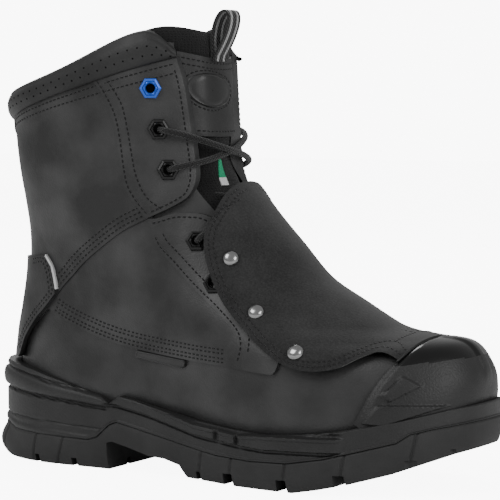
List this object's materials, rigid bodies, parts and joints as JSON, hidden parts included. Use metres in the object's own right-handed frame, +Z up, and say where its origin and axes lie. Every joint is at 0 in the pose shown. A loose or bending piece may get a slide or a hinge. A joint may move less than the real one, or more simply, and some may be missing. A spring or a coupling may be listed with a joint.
{
  "type": "metatarsal guard work boot",
  "caption": "Tall black lace-up safety boot with an outer guard over the instep, a moulded toe bumper, a padded collar and a lugged rubber sole.",
  "frame": {"origin": "centre of the boot's footprint box, on the floor under the sole", "axes": "+X towards the toe, +Y towards the inner (medial) side, +Z up"},
  "size_m": [0.3261, 0.1204, 0.2715],
  "materials": {
    "leather": "oiled full-grain leather, near black",
    "guard_leather": "matte nubuck-like leather, near black",
    "sole_rubber": "moulded rubber, fine stipple",
    "tread_rubber": "matte moulded rubber",
    "badge_rubber": "smooth moulded rubber",
    "textile": "black textile and knit mesh",
    "webbing": "dark grey webbing with two light stripes",
    "reflective": "silver-grey reflective piping",
    "label_cloth": "plain green label cloth",
    "braid": "round braided lace",
    "rivet_steel": "polished dome rivets",
    "black_eyelet": "black coated metal",
    "blue_eyelet": "blue coated metal"
  },
  "bodies": {
    "root": {"back_strip": "textile", "back_webbing": "textile", "collar_cuff": "leather", "eyestay_lateral": "leather", "eyestay_medial": "leather", "heel_counter": "leather", "insole": "textile", "lace_bar": "braid", "lace_crossing": "braid", "lower_facing_lateral": "leather", "lower_facing_medial": "leather", "met_guard": "guard_leather", "midsole": "sole_rubber", "outsole": "tread_rubber", "piping_lateral": "reflective", "piping_medial": "reflective", "pull_loop": "webbing", "quarter_panel": "leather", "shaft_panel": "leather", "side_tag": "sole_rubber", "toe_bumper": "sole_rubber", "tongue": "textile", "tongue_badge": "badge_rubber", "tongue_face": "leather", "tongue_label": "label_cloth", "upper": "leather", "eyelet_lateral_1": "blue_eyelet", "eyelet_lateral_2": "black_eyelet", "eyelet_lateral_3": "black_eyelet", "eyelet_lateral_4": "black_eyelet", "eyelet_lateral_5": "black_eyelet", "rivet_lateral_1": "rivet_steel", "rivet_lateral_2": "rivet_steel", "rivet_lateral_3": "rivet_steel", "eyelet_medial_1": "blue_eyelet", "eyelet_medial_2": "black_eyelet", "eyelet_medial_3": "black_eyelet", "eyelet_medial_4": "black_eyelet", "eyelet_medial_5": "black_eyelet", "rivet_medial_1": "rivet_steel", "rivet_medial_2": "rivet_steel", "rivet_medial_3": "rivet_steel"}
  },
  "joints": []
}
